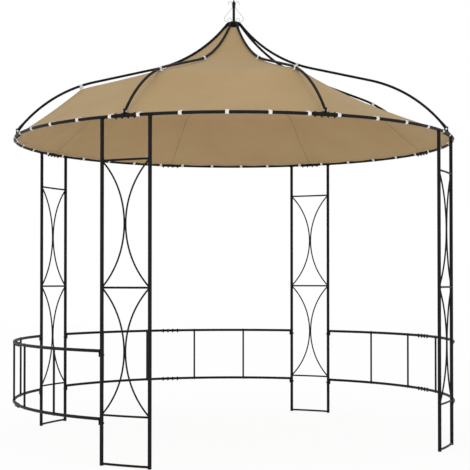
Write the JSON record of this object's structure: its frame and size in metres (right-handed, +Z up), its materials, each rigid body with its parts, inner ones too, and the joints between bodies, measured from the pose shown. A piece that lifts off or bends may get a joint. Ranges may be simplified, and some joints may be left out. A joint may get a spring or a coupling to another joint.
{
  "type": "garden gazebo",
  "caption": "Round steel garden gazebo with lattice legs, baluster railings, an open entrance, swept roof ribs over a tied cloth canopy, and a spear finial.",
  "frame": {"origin": "on the ground, under the finial, at the centre of the round plan", "axes": "+Z up, entrance towards -Y, +X to the right when facing the entrance"},
  "size_m": [2.958, 2.958, 2.9648],
  "materials": {
    "powder_coated_steel": "satin black powder coat on steel tube",
    "canopy_cloth": "woven polyester, matt sand colour",
    "tie_strap": "white woven hook-and-loop strap"
  },
  "bodies": {
    "root": {"leg_front_left": "powder_coated_steel", "leg_front_right": "powder_coated_steel", "leg_back_right": "powder_coated_steel", "leg_back_left": "powder_coated_steel", "ring_arc_1": "powder_coated_steel", "ring_arc_2": "powder_coated_steel", "ring_arc_3": "powder_coated_steel", "ring_arc_4": "powder_coated_steel", "ring_arc_5": "powder_coated_steel", "ring_arc_6": "powder_coated_steel", "ring_arc_7": "powder_coated_steel", "ring_arc_8": "powder_coated_steel", "ring_sleeve_1": "powder_coated_steel", "ring_sleeve_2": "powder_coated_steel", "ring_sleeve_3": "powder_coated_steel", "ring_sleeve_4": "powder_coated_steel", "ring_sleeve_5": "powder_coated_steel", "ring_sleeve_6": "powder_coated_steel", "ring_sleeve_7": "powder_coated_steel", "ring_sleeve_8": "powder_coated_steel", "rib_1": "powder_coated_steel", "rib_2": "powder_coated_steel", "rib_3": "powder_coated_steel", "rib_4": "powder_coated_steel", "rib_5": "powder_coated_steel", "rib_6": "powder_coated_steel", "rib_7": "powder_coated_steel", "rib_8": "powder_coated_steel", "railing_left_front": "powder_coated_steel", "railing_left_back": "powder_coated_steel", "railing_back_left": "powder_coated_steel", "railing_back_right": "powder_coated_steel", "railing_right_back": "powder_coated_steel", "railing_right_front": "powder_coated_steel", "hub": "powder_coated_steel", "finial": "powder_coated_steel", "finial_scrolls": "powder_coated_steel", "canopy": "canopy_cloth", "ring_ties": "tie_strap", "rib_ties": "tie_strap"}
  },
  "joints": []
}
